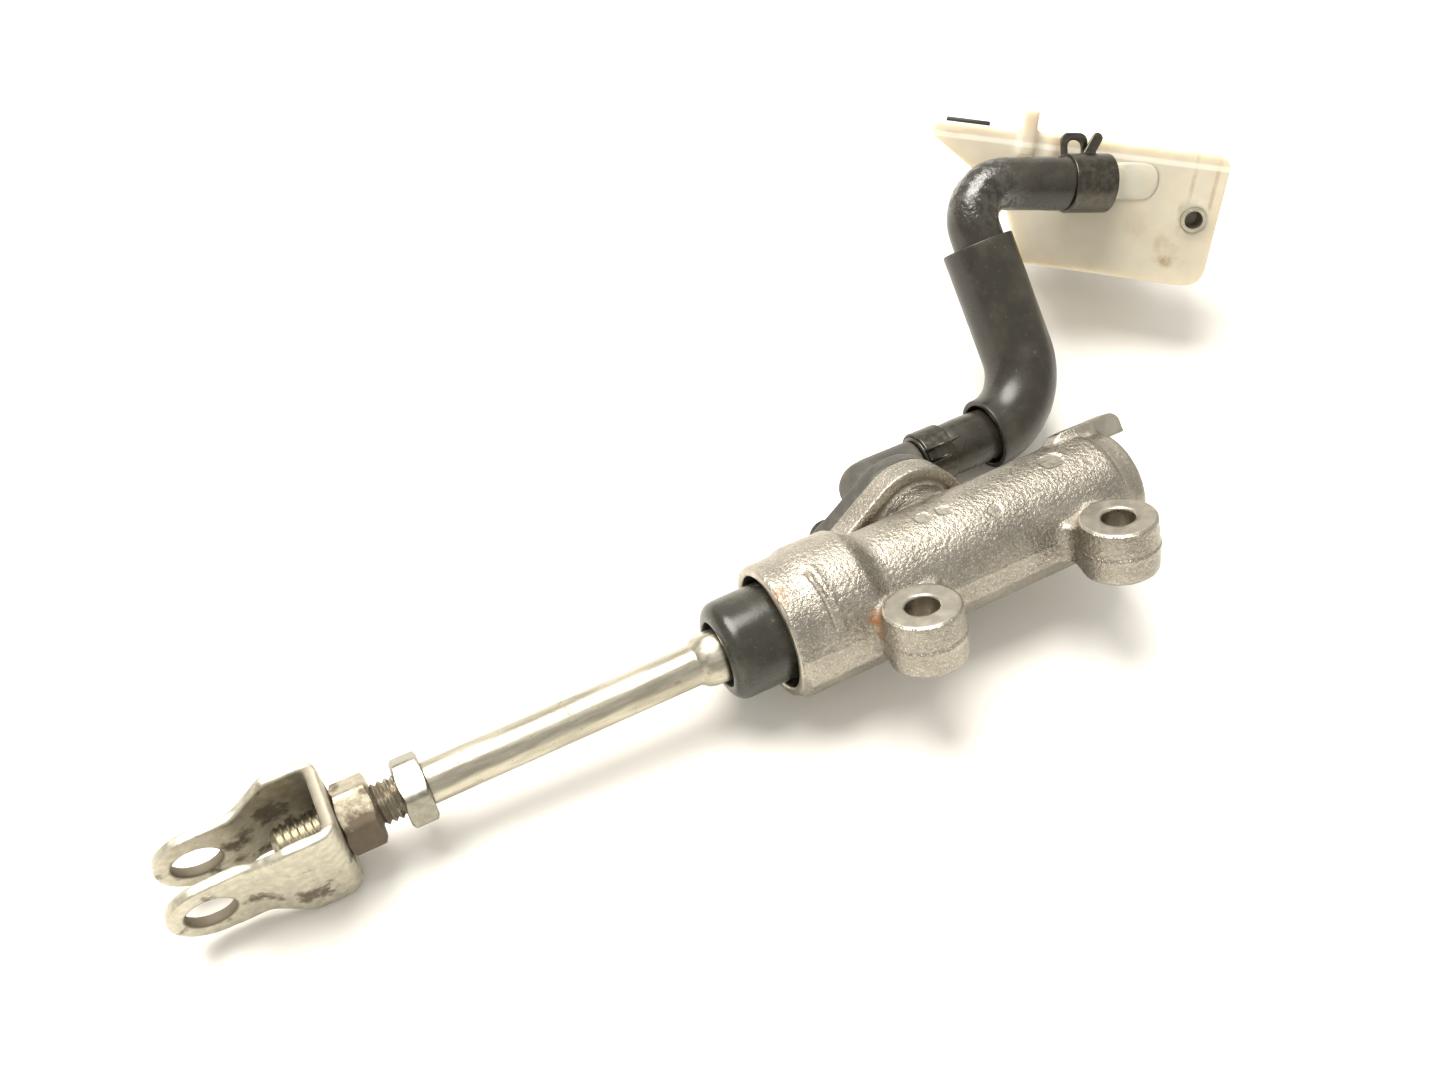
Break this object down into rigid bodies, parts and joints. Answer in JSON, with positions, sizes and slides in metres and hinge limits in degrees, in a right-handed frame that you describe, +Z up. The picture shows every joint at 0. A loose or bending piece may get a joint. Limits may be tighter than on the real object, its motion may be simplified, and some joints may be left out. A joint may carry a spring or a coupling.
{
  "type": "brake master cylinder",
  "caption": "Rear brake master cylinder: cast body with mounting lugs, adjustable push rod and clevis, moulded hose and remote fluid reservoir.",
  "frame": {"origin": "centre of the outlet port's face, on the bore's axis", "axes": "+X along the bore from the push rod to the outlet port, +Z up as it lies on a bench; the casting is rolled 25 degrees about X, so its lug holes run along (0, 0.423, 0.906)"},
  "size_m": [0.2806, 0.1392, 0.0494],
  "materials": {
    "cast": "cast, bead blasted",
    "zinc": "zinc plated, worn",
    "rusty": "plated, rusting",
    "spring_steel": "black, worn",
    "hose_rubber": "semi-gloss, wet in places",
    "seal_rubber": "matt",
    "black_plastic": "glass filled",
    "tank_plastic": "translucent, aged",
    "bright_steel": "bright"
  },
  "bodies": {
    "housing": {"cylinder_body": "cast", "circlip": "spring_steel", "stop_washer": "bright_steel", "diaphragm_plate": "tank_plastic", "diaphragm": "seal_rubber", "return_spring": "bright_steel", "dust_boot": "seal_rubber", "hose_joint": "black_plastic", "joint_seal": "seal_rubber", "joint_screw": "spring_steel", "reservoir_hose": "hose_rubber", "hose_sleeve": "hose_rubber", "hose_clip_lower": "spring_steel", "hose_clip_upper": "spring_steel", "reservoir_base": "tank_plastic", "reservoir_shell": "tank_plastic", "threaded_insert": "bright_steel", "edge_pad": "seal_rubber"},
    "piston": {"piston": "bright_steel", "primary_cup": "seal_rubber", "secondary_cup": "seal_rubber"},
    "pushrod": {"pushrod": "zinc"},
    "lock_nut": {"lock_nut": "zinc"},
    "clevis": {"clevis": "zinc", "clevis_nut": "rusty"},
    "cap": {"reservoir_cap": "black_plastic"}
  },
  "joints": [
    {"name": "piston_stroke", "type": "slide", "parent": "housing", "child": "piston", "axis": [1, 0, 0], "range_m": [0, 0.01], "stiffness_N_per_m": 900, "springref_m": -0.012, "deforming": ["return_spring", "dust_boot"]},
    {"name": "rod_nod", "type": "hinge", "parent": "piston", "child": "pushrod", "pos_m": [-0.0585, 0, 0], "axis": [0, 1, 0], "range_deg": [-2.5, 2.5]},
    {"name": "lock_nut_run", "type": "slide", "parent": "pushrod", "child": "lock_nut", "axis": [1, 0, 0], "range_m": [-0.0024, 0]},
    {"name": "clevis_run", "type": "slide", "parent": "pushrod", "child": "clevis", "axis": [1, 0, 0], "range_m": [-0.003, 0.002]},
    {"name": "cap_lift", "type": "slide", "parent": "housing", "child": "cap", "axis": [0.5532, 0.6663, -0.5], "range_m": [0, 0.012]}
  ]
}
